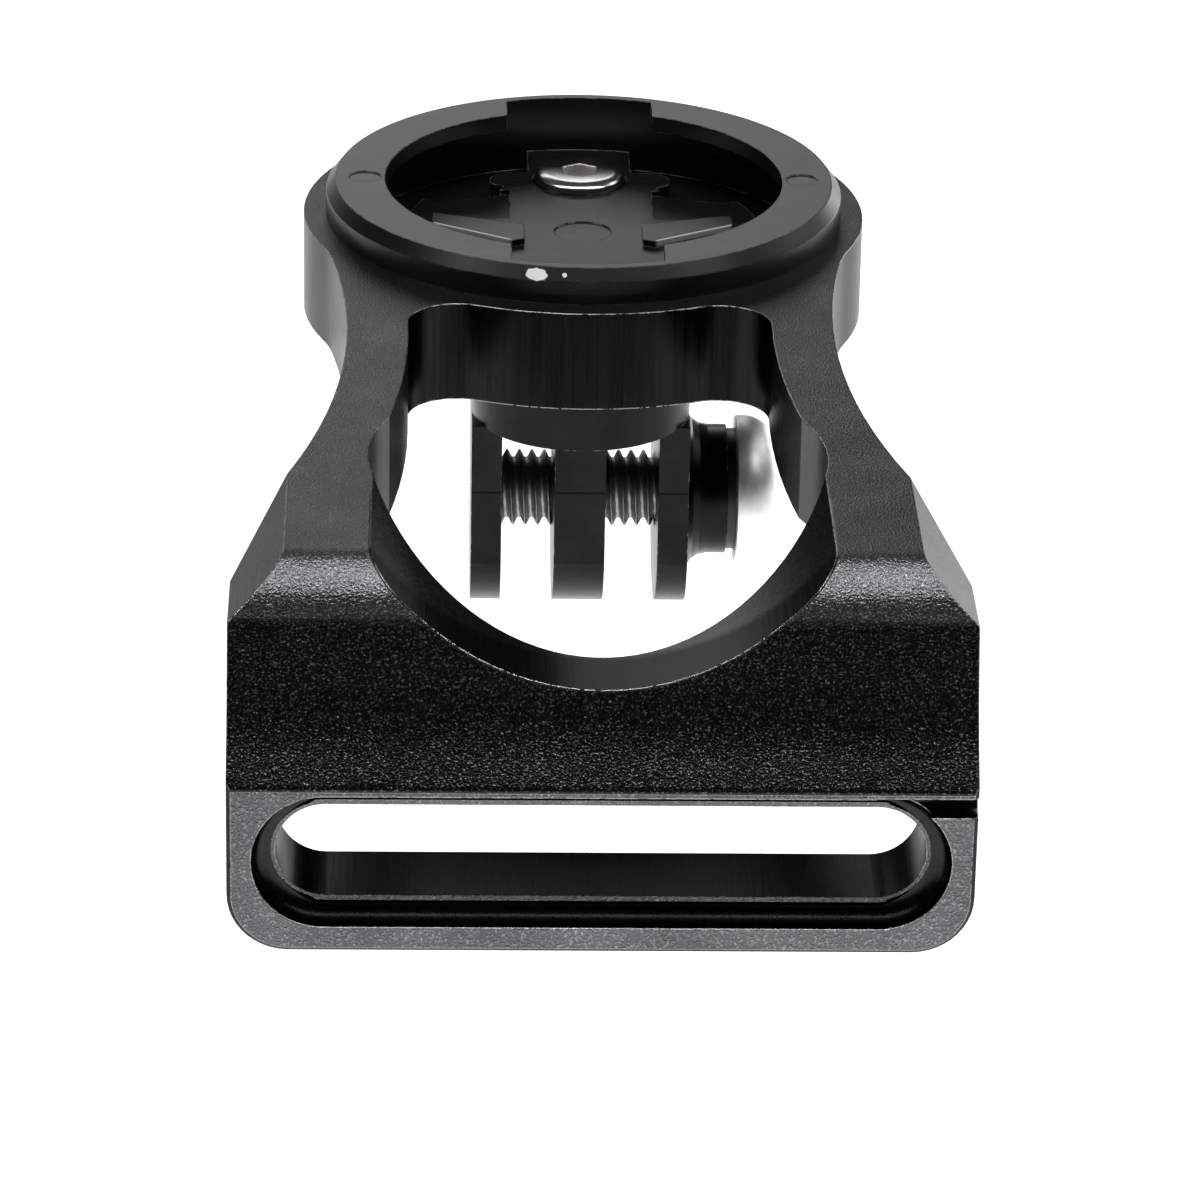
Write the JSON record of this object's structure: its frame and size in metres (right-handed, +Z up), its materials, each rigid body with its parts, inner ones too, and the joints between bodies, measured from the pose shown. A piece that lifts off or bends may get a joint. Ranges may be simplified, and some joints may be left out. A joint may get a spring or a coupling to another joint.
{
  "type": "bike computer mount",
  "caption": "Stem-faceplate bracket with a quarter-turn socket for a bike computer and an action-camera adapter with clamp screw below its head.",
  "frame": {"origin": "on the round head's axis, in the head's top face", "axes": "+Z up out of the socket, +Y away from the stem towards the head's front, +X to the right seen from the stem, where the clamp screw's head is"},
  "size_m": [0.0412, 0.0772, 0.0299],
  "materials": {
    "bracket_black": "bead-blasted black anodised, satin",
    "insert_black": "moulded, satin",
    "adapter_black": "black anodised, turned and milled",
    "stainless": "bright stainless",
    "washer_black": "matt"
  },
  "bodies": {
    "mount": {"bracket": "bracket_black", "twist_lock_insert": "insert_black", "insert_screw_rear": "stainless", "camera_adapter": "adapter_black", "adapter_fixing_screw": "stainless"},
    "clamp": {"clamp_screw": "stainless", "clamp_washer": "washer_black"}
  },
  "joints": [
    {"name": "clamp_screw_draw", "type": "slide", "parent": "mount", "child": "clamp", "axis": [1, 0, 0], "range_m": [0, 0.016]}
  ]
}
